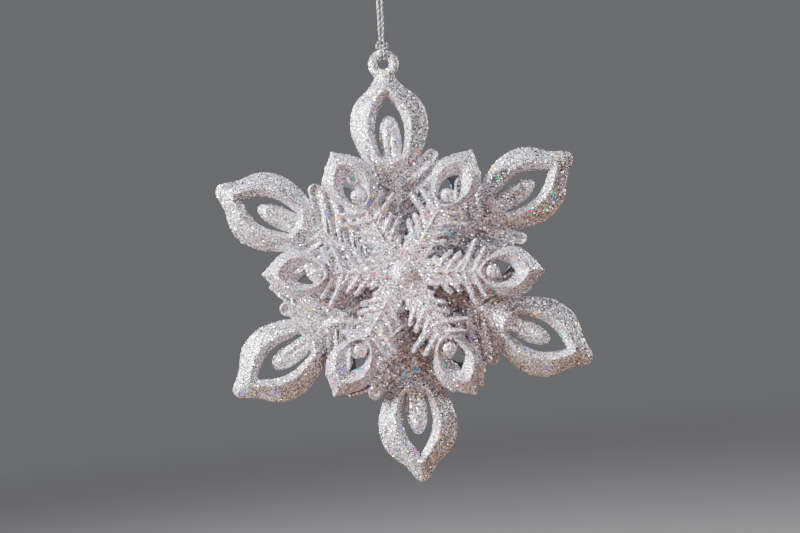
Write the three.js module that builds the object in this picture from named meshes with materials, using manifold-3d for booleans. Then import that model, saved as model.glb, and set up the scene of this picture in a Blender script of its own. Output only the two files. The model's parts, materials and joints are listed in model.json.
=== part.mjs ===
// Layered moulded snowflake ornament on a metallic cord.
// Millimetres, +Z up. The flake hangs in the XZ plane and faces -Y.
// The origin is where the ornament hangs: the middle of the knot's flat underside,
// inside the top of the loop.
//
// The snowflakes and pin pieces are modelled lying down, with the hub at the origin, an arm along +X
// and the outer face towards +Z. The assembly stands them up and hangs them from the origin.
import * as THREE from 'three';
import { ParametricGeometry } from 'three/addons/geometries/ParametricGeometry.js';
import { mergeVertices } from 'three/addons/utils/BufferGeometryUtils.js';
import Module from 'manifold-3d';

const wasm = await Module();
wasm.setup();

const DEG = Math.PI / 180;
const ARMS = 6;

// ---------------------------------------------------------------- finishes
const LARGE_FINISH = { color: 0xb9bcc4, roughness: 0.35, metalness: 0.55 };
const SMALL_FINISH = { color: 0xcfc6cf, roughness: 0.35, metalness: 0.55 };
const PIN_FINISH = { color: 0xd2ccd4, roughness: 0.35, metalness: 0.5 };
const CORD_FINISH = { color: 0xc9ccd2, roughness: 0.3, metalness: 0.9 };
const KNOT_FINISH = { color: 0xc9ccd2, roughness: 0.35, metalness: 0.85 };

// ---------------------------------------------------------------- shared dimensions
// centre pin
const BORE = 1.9;                    // radius of the hole through the layers and in the cap
const SHANK = 1.6;
const PIN_SIDES = 18;
const DOME_RADIUS = 3.7;
const DOME_RISE = 2.5;
const DOME_RIM = 0.3;                // upright rim below the curve

// eyelet on the top petal
const EYELET_Z = 64.8;               // centre, above the hub
const EYELET_RING = 3.22;            // radius of the tube's centre line
const EYELET_TUBE = 1.45;

// ---------------------------------------------------------------- solids and meshes
// Welds a closed geometry into a solid, turned inside out if its faces point inwards.
function toSolid(geometry) {
  const bare = geometry.clone();
  bare.deleteAttribute('normal');
  bare.deleteAttribute('uv');
  const welded = mergeVertices(bare, 1e-4);
  const position = welded.getAttribute('position');
  const corners = welded.index.array;
  const triangles = [];
  let volume = 0;
  const [first, second, third] = [0, 1, 2].map(() => new THREE.Vector3());
  for (let i = 0; i < corners.length; i += 3) {
    const [a, b, c] = corners.slice(i, i + 3);
    if (a === b || b === c || c === a) continue;
    triangles.push(a, b, c);
    first.fromBufferAttribute(position, a);
    second.fromBufferAttribute(position, b);
    third.fromBufferAttribute(position, c);
    volume += first.dot(second.cross(third));
  }
  if (volume < 0) {
    for (let i = 0; i < triangles.length; i += 3) {
      [triangles[i], triangles[i + 1]] = [triangles[i + 1], triangles[i]];
    }
  }
  return new wasm.Manifold(new wasm.Mesh({
    numProp: 3,
    vertProperties: new Float32Array(position.array),
    triVerts: new Uint32Array(triangles),
  }));
}

function toGeometry(solid) {
  const { vertProperties, triVerts } = solid.getMesh();
  const geometry = new THREE.BufferGeometry();
  geometry.setAttribute('position', new THREE.BufferAttribute(new Float32Array(vertProperties), 3));
  geometry.setIndex(new THREE.BufferAttribute(new Uint32Array(triVerts), 1));
  geometry.computeVertexNormals();
  return geometry;
}

const join = (solids) => solids.reduce((whole, part) => whole.add(part));

function mesh(name, geometry, finish) {
  const result = new THREE.Mesh(geometry, new THREE.MeshStandardMaterial(finish));
  result.name = name;
  return result;
}

// ---------------------------------------------------------------- shape helpers
const vectors = (points) => points.map(([x, y]) => new THREE.Vector2(x, y));

// Corners of a regular polygon of unit corner radius, with its flats square to the axes.
function unitPolygon(sides) {
  return Array.from({ length: sides }, (_, k) => {
    const angle = ((k + 0.5) / sides) * 2 * Math.PI;
    return [Math.cos(angle), Math.sin(angle)];
  });
}

// Polygon whose flats lie at the given radius.
function polygonAround(radius, sides) {
  const corner = radius / Math.cos(Math.PI / sides);
  return unitPolygon(sides).map(([x, y]) => [corner * x, corner * y]);
}

// Turns a profile of [radius, height] about the Z axis.
function lathe(profile, sides) {
  return new THREE.LatheGeometry(vectors(profile), sides).rotateX(Math.PI / 2);
}

function rod(radius, bottom, top, sides) {
  return toSolid(lathe([[0, bottom], [radius, bottom], [radius, top], [0, top]], sides));
}

function plate(outline, depth, bottom = 0) {
  const shape = new THREE.Shape(vectors(outline));
  return new THREE.ExtrudeGeometry(shape, { depth, bevelEnabled: false }).translate(0, 0, bottom);
}

// A skin through rings with equal numbers of points.
// A closed run joins its last ring to its first; an open one shrinks to a point at each end.
function skin(rings, closedRun) {
  const around = rings[0].length;
  const endPoint = (ring) => {
    const centre = new THREE.Vector3();
    ring.forEach((point) => centre.add(point));
    centre.multiplyScalar(1 / around);
    return ring.map(() => centre);
  };
  const run = closedRun
    ? [...rings, rings[0]]
    : [endPoint(rings[0]), ...rings, endPoint(rings.at(-1))];
  const along = run.length - 1;
  return new ParametricGeometry((u, v, target) => {
    target.copy(run[Math.round(v * along)][Math.round(u * around) % around]);
  }, around, along);
}

// Places a piece built along +X at a root on the arm, turned off the arm.
function offArm(geometry, root, angle) {
  return geometry.rotateZ(angle).translate(root, 0, 0);
}

function armsAround(arm, start = 0) {
  const geometry = toGeometry(arm);
  return Array.from({ length: ARMS }, (_, i) => (
    toSolid(geometry.clone().rotateZ(start + i * 60 * DEG))));
}

// A hollow petal: a closed run of ridged cross-sections round the opening.
// With no flat back given, the back mirrors the front.
function hollowPetal({ outer, inner, edge, ridge, back, crest, crestAt }) {
  const section = (k, side) => {
    const [outerX, outerY] = outer[k];
    const [innerX, innerY] = inner[k];
    const point = (t, z) => new THREE.Vector3(
      innerX + (outerX - innerX) * t, side * (innerY + (outerY - innerY) * t), z);
    const span = Math.hypot(outerX - innerX, outerY - innerY);
    const flat = Math.min(crest / span, 0.1);
    const front = [[0, edge], [crestAt - flat, ridge], [crestAt + flat, ridge], [1, edge]];
    const rear = back === undefined
      ? front.map(([t, z]) => [t, -z]).reverse()
      : [[1, back], [0, back]];
    return [...front, ...rear].map(([t, z]) => point(t, z));
  };
  const last = outer.length - 1;
  const rings = [];
  for (let k = 0; k <= last; k++) rings.push(section(k, 1));
  for (let k = last - 1; k > 0; k--) rings.push(section(k, -1));
  return toSolid(skin(rings, true));
}

// ---------------------------------------------------------------- large layer
const LARGE_START = 30 * DEG;        // direction of the first petal, from +X towards +Z once hung
const LARGE_PETAL = {
  ridge: 3.8,                        // half thickness at the ridge
  edge: 1.5,                         // half thickness at the edges
  crest: 0.45,                       // half width of the flat along the ridge
  crestAt: 0.28,                     // place of the ridge, from the opening (0) to the outline (1)
  outer: [                           // outline: along the arm, to the side
    [63.1, 0], [61.9, 2.2], [59.4, 3.9], [57.0, 6.0], [54.8, 8.8], [51.5, 10.8],
    [47.3, 11.9], [42.5, 11.4], [37.8, 9.7], [33.5, 7.2], [29.5, 4.2], [25.5, 0]],
  inner: [                           // opening: along the arm, to the side
    [54.9, 0], [54.3, 0.6], [53.5, 1.2], [52.3, 2.0], [50.6, 3.1], [48.5, 4.1],
    [45.6, 4.6], [42.0, 4.4], [38.2, 3.7], [34.6, 2.7], [31.4, 1.4], [29.5, 0]],
};
// Section: [across, height], as shares of half and rise.
// Stations: [share of the length, share of the width].
const BUD = {
  root: 27,
  tip: 48.8,
  half: 3.25,
  rise: 2.7,
  section: [
    [1, 0], [0.6, 0.85], [0, 1], [-0.6, 0.85],
    [-1, 0], [-0.6, -0.85], [0, -1], [0.6, -0.85]],
  stations: [[0, 0.78], [0.4, 1], [0.72, 0.95], [0.9, 0.68], [0.985, 0.28]],
};
const LEAF = {                       // fluted: two ribs on each face
  root: 0,
  tip: 16.4,
  half: 2.35,
  rise: 2.5,
  section: [
    [1, 0], [0.55, 1], [0, 0.72], [-0.55, 1],
    [-1, 0], [-0.55, -1], [0, -0.72], [0.55, -1]],
  stations: [[0, 0.8], [0.78, 1], [0.95, 0.6]],
};
const LEAF_ROOT = 26.8;              // where the leaf on each side leaves the arm
const LEAF_TURN = 56 * DEG;
const BODY_RADIUS = 27;
const BODY_RIM_HALF = 1.5;           // half thickness at the rim
const BODY_FLAT_RADIUS = 14;
const BODY_FLAT_HALF = 2.8;          // half thickness of the flat middle
const LARGE_HUB_RADIUS = 6;
const LARGE_HUB_HALF = 5.0;
const NECK_DEPTH = 2.6;
const NECK = [                       // x, height from the eyelet's centre
  [-2.6, -6.8], [2.6, -6.8], [2.55, -4.6], [3.1, -2.8], [-3.1, -2.8], [-2.55, -4.6]];

function taperedPod({ root, tip, half, rise, section, stations }) {
  const rings = stations.map(([t, width]) => section.map(([across, height]) => new THREE.Vector3(
    root + (tip - root) * t, across * half * width, height * rise * Math.sqrt(width))));
  return skin(rings, false);
}

function largeArm() {
  const parts = [hollowPetal(LARGE_PETAL), toSolid(taperedPod(BUD))];
  for (const side of [1, -1]) {
    parts.push(toSolid(offArm(taperedPod(LEAF), LEAF_ROOT, side * LEAF_TURN)));
  }
  return join(parts);
}

function largeBody() {
  return toSolid(lathe([
    [0, -BODY_FLAT_HALF], [BODY_FLAT_RADIUS, -BODY_FLAT_HALF], [BODY_RADIUS, -BODY_RIM_HALF],
    [BODY_RADIUS, BODY_RIM_HALF], [BODY_FLAT_RADIUS, BODY_FLAT_HALF], [0, BODY_FLAT_HALF]], 24));
}

// A ring whose eight-sided tube has flats on its front, back, inside and outside.
function eyelet() {
  const section = polygonAround(EYELET_TUBE, 8).map(([x, y]) => [EYELET_RING + x, y]);
  return toSolid(lathe([...section, section[0]], 20).translate(0, EYELET_Z, 0));
}

// Joins the eyelet to the top petal, clear of the eyelet's hole.
function eyeletNeck() {
  const neck = plate(NECK, NECK_DEPTH, -NECK_DEPTH / 2).translate(0, EYELET_Z, 0);
  const hole = rod(EYELET_RING - EYELET_TUBE + 0.02, -4, 4, 20).translate(0, EYELET_Z, 0);
  return toSolid(neck).subtract(hole);
}

function largeSnowflake() {
  const whole = join([
    ...armsAround(largeArm(), LARGE_START),
    largeBody(),
    rod(LARGE_HUB_RADIUS, -LARGE_HUB_HALF, LARGE_HUB_HALF, PIN_SIDES),
    eyelet(),
    eyeletNeck(),
  ]);
  return toGeometry(whole.subtract(rod(BORE, -9, 9, PIN_SIDES)));
}

// ---------------------------------------------------------------- small layers
// Heights are above the middle plane of the large layer.
const FRONT_TURN = 55.3 * DEG;       // direction of a front petal at rest
const BACK_TURN = 0;                 // direction of a rear petal at rest
const SMALL_BACK = 7.9;              // the flat back
const SMALL_PETAL = {
  back: SMALL_BACK,
  ridge: 13.2,
  edge: 9.6,
  crest: 0.38,
  crestAt: 0.52,
  outer: [                           // outline: along the arm, to the side
    [42.2, 0], [41.2, 0.9], [39.6, 3.0], [37.6, 4.9], [35.4, 6.6],
    [32.2, 7.3], [29.0, 6.6], [25.4, 4.5], [20.5, 0]],
  inner: [                           // opening: along the arm, to the side
    [33.2, 0], [32.8, 0.7], [32.0, 1.6], [31.0, 2.4], [29.8, 2.95],
    [28.2, 3.15], [26.4, 2.9], [24.6, 1.9], [23.4, 0]],
};
const HUB_RADIUS = 6.9;
const HUB_TOP = 10.3;
const HUB_LIP_WIDTH = 0.7;
const HUB_LIP_RISE = 0.2;
const COLLAR_RADIUS = 5.0;
const COLLAR_BACK = 5.3;
const BALL_AT = 26.2;
const BALL_RADIUS = 2.2;
const BALL_HEIGHT = 2.3;             // of its centre, above the flat back
const STEM = { length: 3.6, thickness: 2.6, behindBall: 2.9, height: 1.9 };
const SPINE = { from: 6.5, to: 24.5, half: 0.9, top: 11.7, shoulderDrop: 0.9, crest: 0.25 };
const NEEDLE_HALF = 0.85;            // half width at the root
const NEEDLE_TIP_HALF = 0.5;
const NEEDLE_LIFT = 0.4;             // underside above the flat back
const NEEDLES = [                    // root along the arm, length, degrees off the arm, top
  [6.4, 6.1, 54, 11.1], [9.3, 8.3, 51, 11.4], [12.6, 7.4, 53, 11.5],
  [15.6, 6.4, 51, 11.6], [17.9, 10.5, 68, 11.8], [20.9, 8.2, 65, 11.7]];
const WEB_TOP = 10.15;
const WEB = [                        // along the arm, half width
  [3.0, 2.4], [7.0, 3.5], [9.5, 3.7], [13.0, 3.3],
  [17.0, 3.1], [19.5, 3.3], [22.0, 3.9], [24.3, 4.0]];

function ballBud() {
  const ball = new THREE.SphereGeometry(BALL_RADIUS, 8, 4);
  return toSolid(ball.translate(BALL_AT, 0, SMALL_BACK + BALL_HEIGHT));
}

function ballStem() {
  const stem = new THREE.BoxGeometry(STEM.length, STEM.thickness, STEM.thickness);
  return toSolid(stem.translate(BALL_AT - STEM.behindBall, 0, SMALL_BACK + STEM.height));
}

// Straight bar along the arm, its top sloping down to each side.
function spine() {
  const { half, top, crest } = SPINE;
  const shoulder = top - SPINE.shoulderDrop;
  const section = [                  // to the side, height
    [-half, SMALL_BACK], [half, SMALL_BACK], [half, shoulder],
    [crest, top], [-crest, top], [-half, shoulder]];
  // side -> Y, height -> Z, depth -> X, along the arm
  const lay = new THREE.Matrix4().makeBasis(
    new THREE.Vector3(0, 1, 0), new THREE.Vector3(0, 0, 1), new THREE.Vector3(1, 0, 0));
  const bar = plate(section, SPINE.to - SPINE.from).applyMatrix4(lay);
  return toSolid(bar.translate(SPINE.from, 0, 0));
}

// The plate that joins the needles.
function web() {
  const mirrored = WEB.map(([x, y]) => [x, -y]).reverse();
  return toSolid(plate([...WEB, ...mirrored], WEB_TOP - SMALL_BACK, SMALL_BACK));
}

function needle([root, length, angle, top], side) {
  const outline = [
    [0, -NEEDLE_HALF], [length, -NEEDLE_TIP_HALF], [length, NEEDLE_TIP_HALF], [0, NEEDLE_HALF]];
  const bar = plate(outline, top - SMALL_BACK - NEEDLE_LIFT, SMALL_BACK + NEEDLE_LIFT);
  return toSolid(offArm(bar, root, side * angle * DEG));
}

function smallArm() {
  const needles = [1, -1].flatMap((side) => NEEDLES.map((row) => needle(row, side)));
  return join([hollowPetal(SMALL_PETAL), ballBud(), ballStem(), spine(), web(), ...needles]);
}

// Hub with a raised lip, and a narrower collar behind it.
function smallHub() {
  const lipTop = HUB_TOP + HUB_LIP_RISE;
  return toSolid(lathe([
    [0, COLLAR_BACK], [COLLAR_RADIUS, COLLAR_BACK], [COLLAR_RADIUS, SMALL_BACK],
    [HUB_RADIUS, SMALL_BACK], [HUB_RADIUS, lipTop], [HUB_RADIUS - HUB_LIP_WIDTH, lipTop],
    [DOME_RADIUS + 1.2, HUB_TOP], [0, HUB_TOP]], PIN_SIDES));
}

function smallSnowflake() {
  const whole = join([...armsAround(smallArm()), smallHub()]);
  const domeSeat = rod(DOME_RADIUS + 0.5, HUB_TOP, HUB_TOP + 8, PIN_SIDES);
  const bore = rod(BORE, 0, HUB_TOP + 2, PIN_SIDES);
  return toGeometry(whole.subtract(domeSeat).subtract(bore));
}

// ---------------------------------------------------------------- pin and cap
const DOME_BASE = HUB_TOP + 0.3;     // a small gap above the hub
const DOME_SWEEP = 76 * DEG;
const DOME_STEPS = 4;
const CAP_HOLE_END = 12.2;
const PIN_END_GAP = 0.4;             // between the pin's end and the end of the cap's hole

// A dome over a shank (end below the dome's base) or over a blind hole (end above it).
function domed(radius, end) {
  const curve = [];
  for (let k = 0; k <= DOME_STEPS; k++) {
    const angle = (k / DOME_STEPS) * DOME_SWEEP;
    const rise = (DOME_RISE - DOME_RIM) * Math.sin(angle) / Math.sin(DOME_SWEEP);
    curve.push([DOME_RADIUS * Math.cos(angle), DOME_BASE + DOME_RIM + rise]);
  }
  return lathe([[0, end], [radius, end], [radius, DOME_BASE], [DOME_RADIUS, DOME_BASE],
    ...curve, [0, DOME_BASE + DOME_RISE]], PIN_SIDES);
}

const centrePin = () => domed(SHANK, -CAP_HOLE_END + PIN_END_GAP);
const pinCap = () => domed(BORE, CAP_HOLE_END);

// ---------------------------------------------------------------- cord
const CORD_LEAN = 2.5 * DEG;         // the cord leans this far towards +X
const STRAND_RADIUS = 0.46;
const HITCH_INNER = 1.95;
const HITCH_OUTER = 2.8;
const HITCH_HALF = 0.95;             // half width of the band
const LOWER_AT = 5.2;                // start of the lower run, above the eyelet's top bar
const LOWER_LENGTH = 9.0;            // the run where the two strands lie side by side
const UPPER_AT = LOWER_AT + LOWER_LENGTH;
const LOOP_LENGTH = 66;
const LOOP_HALF = 5.6;
const KNOT_RADIUS = 1.9;
const KNOT_SEAT = 0.85;              // radius of the flat underside
const KNOT_HEIGHT = 3.4;
const TAIL = 5.0;
const GATHER = [                     // distance up the cord, half width to the side, half width in Y
  [2.2, 1.5, 1.1], [3.0, 1.45, 1.0], [3.9, 1.0, 0.72], [LOWER_AT - 0.25, 0.56, 0.48]];
const LOOP_PATH = [                  // to the side, up from the loop's start
  [0.42, 0.2], [0.7, 7], [2.0, 19], [3.9, 34],
  [LOOP_HALF, LOOP_LENGTH - 15], [LOOP_HALF - 0.7, LOOP_LENGTH - 7],
  [LOOP_HALF - 2.5, LOOP_LENGTH - 2.6], [1.5, LOOP_LENGTH + 0.6]];
const TAIL_PATH = [                  // to the side, up from the knot's underside
  [0.5, KNOT_HEIGHT - 1], [0.75, KNOT_HEIGHT + 0.6],
  [1.3, KNOT_HEIGHT + TAIL * 0.6], [1.9, KNOT_HEIGHT + TAIL]];

const cordStart = new THREE.Vector3(0, 0, EYELET_Z + EYELET_RING);
const cordUp = new THREE.Vector3(Math.sin(CORD_LEAN), 0, Math.cos(CORD_LEAN));
const cordSide = new THREE.Vector3(Math.cos(CORD_LEAN), 0, -Math.sin(CORD_LEAN));

// An offset in the leaning frame of the cord, and a place on its centre line.
function cordOffset(up, side = 0, y = 0) {
  return new THREE.Vector3(0, y, 0).addScaledVector(cordUp, up).addScaledVector(cordSide, side);
}
const cordPlace = (up) => cordOffset(up).add(cordStart);

function strand(points, steps) {
  const shape = new THREE.Shape(vectors(polygonAround(STRAND_RADIUS, 6)));
  shape.closePath();
  const extrudePath = new THREE.CatmullRomCurve3(points, false, 'centripetal');
  return toSolid(new THREE.ExtrudeGeometry(shape, { steps, extrudePath, bevelEnabled: false }));
}

// Two mirrored strands along a path of [to the side, up].
function strandPair(path, steps) {
  return [-1, 1].map((side) => (
    strand(path.map(([x, z]) => new THREE.Vector3(side * x, 0, z)), steps)));
}

// A band round the eyelet's top bar, with the two strands gathered above it.
function hitch() {
  const profile = [                  // radius, along the bar
    [HITCH_INNER, -HITCH_HALF], [HITCH_OUTER - 0.25, -HITCH_HALF],
    [HITCH_OUTER, -HITCH_HALF + 0.3], [HITCH_OUTER, HITCH_HALF - 0.3],
    [HITCH_OUTER - 0.25, HITCH_HALF], [HITCH_INNER, HITCH_HALF], [HITCH_INNER, -HITCH_HALF]];
  const band = new THREE.LatheGeometry(vectors(profile), 16).rotateZ(Math.PI / 2);
  const rings = GATHER.map(([up, halfSide, halfY]) => (
    unitPolygon(8).map(([side, y]) => cordOffset(up, halfSide * side, halfY * y))));
  return toGeometry(toSolid(band).add(toSolid(skin(rings, false))));
}

// The two strands, side by side.
function lowerRun() {
  const heights = [0.2, LOWER_LENGTH * 0.5, LOWER_LENGTH - 0.2];
  const strands = [-0.41, 0.41].map((side) => strand(heights.map((up) => cordOffset(up, side)), 2));
  return toGeometry(join(strands));
}

function knotBody(grow) {
  const waist = KNOT_RADIUS + grow;
  const top = KNOT_HEIGHT + grow;
  return lathe([[0, -grow], [KNOT_SEAT + grow * 0.6, -grow], [waist, 0.9 - grow * 0.3],
    [waist, KNOT_HEIGHT * 0.68], [KNOT_RADIUS * 0.62 + grow, top], [0, top]], 10);
}

// Two strands that leave the lower run together, part, and come together again at the knot.
function loop() {
  const root = new THREE.BoxGeometry(1.1, 0.7, 1.2).translate(0, 0, 0.8);
  // room for the knot, which stays upright while the loop leans
  const room = knotBody(0.3).rotateY(-CORD_LEAN).translate(0, 0, LOOP_LENGTH);
  const whole = join([...strandPair(LOOP_PATH, 14), toSolid(root)]);
  return toGeometry(whole.subtract(toSolid(room)));
}

// The knot that joins the two ends, flat underneath, with its two tails.
function knot() {
  return toGeometry(join([toSolid(knotBody(0)), ...strandPair(TAIL_PATH, 4)]));
}

// ---------------------------------------------------------------- assembly
const knotSeat = cordPlace(UPPER_AT + LOOP_LENGTH);

function layers() {
  const stand = new THREE.Group();
  stand.rotation.x = Math.PI / 2;    // local +Z turns to face -Y

  const front = mesh('front_snowflake', smallSnowflake(), SMALL_FINISH);
  front.rotation.z = FRONT_TURN;

  const rear = new THREE.Group();
  rear.rotation.y = Math.PI;         // faces the other way
  const back = mesh('back_snowflake', smallSnowflake(), SMALL_FINISH);
  back.rotation.z = BACK_TURN;
  rear.add(back, mesh('pin_cap', pinCap(), PIN_FINISH));

  stand.add(
    mesh('large_snowflake', largeSnowflake(), LARGE_FINISH),
    front,
    mesh('centre_pin', centrePin(), PIN_FINISH),
    rear,
  );
  return stand;
}

function wholeCord() {
  const hitchMesh = mesh('cord_hitch', hitch(), CORD_FINISH);
  hitchMesh.position.copy(cordStart);

  const lowerMesh = mesh('cord_lower', lowerRun(), CORD_FINISH);
  lowerMesh.position.copy(cordPlace(LOWER_AT));

  const upper = new THREE.Group();
  upper.position.copy(cordPlace(UPPER_AT));
  upper.rotation.y = CORD_LEAN;
  upper.add(mesh('cord_loop', loop(), CORD_FINISH));

  const knotMesh = mesh('cord_knot', knot(), KNOT_FINISH);
  knotMesh.position.copy(knotSeat);  // outside the leaning group, so its seat stays level

  const cord = new THREE.Group();
  cord.add(hitchMesh, lowerMesh, upper, knotMesh);
  return cord;
}

const ornament = new THREE.Group();
ornament.position.copy(knotSeat).negate();
ornament.add(layers(), wholeCord());

const hung = new THREE.Group();
hung.name = 'snowflake_ornament';
hung.add(ornament);

export default hung;
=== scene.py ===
"""Glittered snowflake ornament on a looped metallic cord.

The flake stands upright in the XZ plane, centred on the hub joint, with its front towards -Y.
One large layer lies between two small ones held by a domed pin through the hub. The cord is
hitched to an eyelet on the flake's top petal. Shapes are worked out in millimetres; Blender
objects, the floor, the lights and the camera are in metres.
"""
import json
import math

import bpy
import numpy as np
from mathutils import Matrix, Vector


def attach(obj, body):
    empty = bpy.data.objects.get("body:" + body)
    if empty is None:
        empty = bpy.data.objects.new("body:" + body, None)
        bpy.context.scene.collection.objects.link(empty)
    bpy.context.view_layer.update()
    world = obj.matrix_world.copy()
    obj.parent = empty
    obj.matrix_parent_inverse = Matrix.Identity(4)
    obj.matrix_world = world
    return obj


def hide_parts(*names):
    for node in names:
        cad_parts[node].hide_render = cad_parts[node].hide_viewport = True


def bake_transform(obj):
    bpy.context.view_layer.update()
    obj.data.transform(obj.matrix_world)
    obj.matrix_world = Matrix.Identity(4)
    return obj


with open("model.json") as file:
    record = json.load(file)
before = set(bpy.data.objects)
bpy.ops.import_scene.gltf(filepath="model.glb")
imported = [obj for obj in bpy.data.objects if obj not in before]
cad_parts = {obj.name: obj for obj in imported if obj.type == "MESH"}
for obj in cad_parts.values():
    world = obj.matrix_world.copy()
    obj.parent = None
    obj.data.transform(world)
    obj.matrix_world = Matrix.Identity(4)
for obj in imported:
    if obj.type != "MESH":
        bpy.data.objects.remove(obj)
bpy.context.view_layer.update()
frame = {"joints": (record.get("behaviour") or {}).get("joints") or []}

MM = 0.001
RAD = math.pi / 180
joints = {joint["name"]: joint for joint in frame["joints"]}


def joint_mm(name):
    return np.array(joints[name]["pos_m"], float) * 1000


HUB = joint_mm("front_turn")
BAR = joint_mm("eyelet_swing")  # the eyelet's top bar, where the cord hangs
UP = np.array(joints["cord_twist"]["axis"], float)
UP /= np.linalg.norm(UP)
SIDE = np.array([UP[2], 0, -UP[0]])

# Dimensions shared by several pieces, in mm
ARM_PITCH = math.pi / 3
LARGE_START = math.pi / 6  # angle of the first arm, from +X towards +Z
FRONT_START = 55.3 * RAD
BACK_START = 0.0
BORE = 1.9  # radius of the hole for the pin
SMALL_BACK = 7.9  # depth of a small layer's flat back, outwards from the flake's middle plane
JITTER = 0.045  # roughness of the glitter coat


# ------------------------------------------------------------------ signed-distance kit, in mm
def smin(a, b, blend):
    """Smooth union."""
    h = np.clip(0.5 + 0.5 * (b - a) / blend, 0, 1)
    return b + (a - b) * h - blend * h * (1 - h)


def smax(a, b, blend):
    """Smooth intersection."""
    return -smin(-a, -b, blend)


def table(x, pairs):
    """Linear interpolation through (x, value) pairs."""
    t = np.array(pairs, float)
    return np.interp(x, t[:, 0], t[:, 1])


def grid(low, high, cell):
    return np.arange(low, high + cell, cell)


def poly_distance(px, py, points):
    """Signed distance to a closed polygon, negative inside."""
    best = np.full(px.shape, 1e9)
    inside = np.zeros(px.shape, bool)
    for (ax, ay), (bx, by) in zip(points, np.roll(points, -1, axis=0)):
        dx, dy = bx - ax, by - ay
        t = np.clip(((px - ax) * dx + (py - ay) * dy) / (dx * dx + dy * dy), 0, 1)
        qx, qy = px - (ax + t * dx), py - (ay + t * dy)
        best = np.minimum(best, qx * qx + qy * qy)
        if ay != by:
            crossing = px < (bx - ax) * (py - ay) / (by - ay) + ax
            inside ^= ((ay > py) != (by > py)) & crossing
    distance = np.sqrt(best)
    return np.where(inside, -distance, distance)


def catmull_rom(four, t):
    """Point at share t between the second and third of four points."""
    p0, p1, p2, p3 = four
    return 0.5 * (2 * p1 + (p2 - p0) * t + (2 * p0 - 5 * p1 + 4 * p2 - p3) * t * t
                  + (3 * p1 - p0 - 3 * p2 + p3) * t ** 3)


def smooth_outline(half_outline, steps=4):
    """Half outline (along, side) from tip to root -> closed polygon through splines."""
    half = np.array(half_outline, float)
    full = np.vstack([half, half[-2:0:-1] * [1, -1]])
    count = len(full)
    return np.array([catmull_rom([full[(i + k) % count] for k in (-1, 0, 1, 2)], step / steps)
                     for i in range(count) for step in range(steps)])


# ------------------------------------------------------------------ surface meshing
CORNERS = [(x, y, z) for x in (0, 1) for y in (0, 1) for z in (0, 1)]


def surface_net(field, origin, cell):
    """Naive surface nets: one point in each cell the surface crosses. Negative is inside."""
    neg = field < 0
    nx, ny, nz = (n - 1 for n in field.shape)
    count = sum(neg[x:nx + x, y:ny + y, z:nz + z].astype(np.int8) for x, y, z in CORNERS)
    crossed = (count > 0) & (count < 8)
    cells = np.argwhere(crossed)
    ids = np.full(crossed.shape, -1, np.int32)
    ids[crossed] = np.arange(len(cells))
    value = {corner: field[tuple((cells + corner).T)] for corner in CORNERS}
    total = np.zeros((len(cells), 3))
    hits = np.zeros(len(cells))
    for corner in CORNERS:
        for axis in range(3):
            if corner[axis] == 1:
                continue
            far = list(corner)
            far[axis] = 1
            va, vb = value[corner], value[tuple(far)]
            cut = (va < 0) != (vb < 0)
            point = np.tile(np.array(corner, float), (int(cut.sum()), 1))
            point[:, axis] += va[cut] / (va[cut] - vb[cut])
            total[cut] += point
            hits[cut] += 1
    pos = (cells + total / hits[:, None]) * cell + np.array(origin, float)
    quads = []
    for axis in range(3):
        size = neg.shape[axis]
        low, high = neg.take(range(size - 1), axis), neg.take(range(1, size), axis)
        edges = np.argwhere(low != high)
        u, v = (axis + 1) % 3, (axis + 2) % 3
        edges = edges[(edges[:, u] > 0) & (edges[:, v] > 0)
                      & (edges[:, u] < neg.shape[u] - 1) & (edges[:, v] < neg.shape[v] - 1)]
        inside = low[tuple(edges.T)]
        ring = []
        for du, dv in ((-1, -1), (0, -1), (0, 0), (-1, 0)):
            around = edges.copy()
            around[:, u] += du
            around[:, v] += dv
            ring.append(ids[tuple(around.T)])
        ring = np.stack(ring, 1)
        ring[~inside] = ring[~inside][:, ::-1]
        quads.append(ring)
    return pos, np.vstack(quads)


def keep_largest(pos, quads):
    """Drops loose crumbs that the field may leave."""
    label = np.arange(len(pos))
    while True:
        lowest = label[quads].min(1)
        new = label.copy()
        # the last write wins, so order the writes to leave the smallest label
        order = np.argsort(-lowest, kind="stable")
        for k in range(4):
            spread = new.copy()
            spread[quads[order, k]] = lowest[order]
            new = np.minimum(new, spread)
        new = new[new]
        if (new == label).all():
            break
        label = new
    keep = label == np.bincount(label).argmax()
    if keep.all():
        return pos, quads
    remap = np.full(len(pos), -1)
    remap[keep] = np.arange(int(keep.sum()))
    return pos[keep], remap[quads[keep[quads[:, 0]]]]


def scatter(index, values, n):
    """Sums rows of values into n slots."""
    return np.stack([np.bincount(index, weights=values[:, k], minlength=n)
                     for k in range(values.shape[1])], 1)


def vertex_normals(pos, quads):
    n = np.cross(pos[quads[:, 2]] - pos[quads[:, 0]], pos[quads[:, 3]] - pos[quads[:, 1]])
    out = scatter(quads.T.ravel(), np.tile(n, (4, 1)), len(pos))
    return out / np.maximum(np.linalg.norm(out, axis=1), 1e-9)[:, None]


def relax(pos, quads, rounds, keep):
    """Light smoothing that takes the stair steps out of a surface net."""
    edges = np.vstack([quads[:, [k, (k + 1) % 4]] for k in range(4)])
    a, b = np.r_[edges[:, 0], edges[:, 1]], np.r_[edges[:, 1], edges[:, 0]]
    degree = np.bincount(a, minlength=len(pos))[:, None]
    for _ in range(rounds):
        pos = pos * keep + scatter(a, pos[b], len(pos)) / degree * (1 - keep)
    return pos


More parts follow.
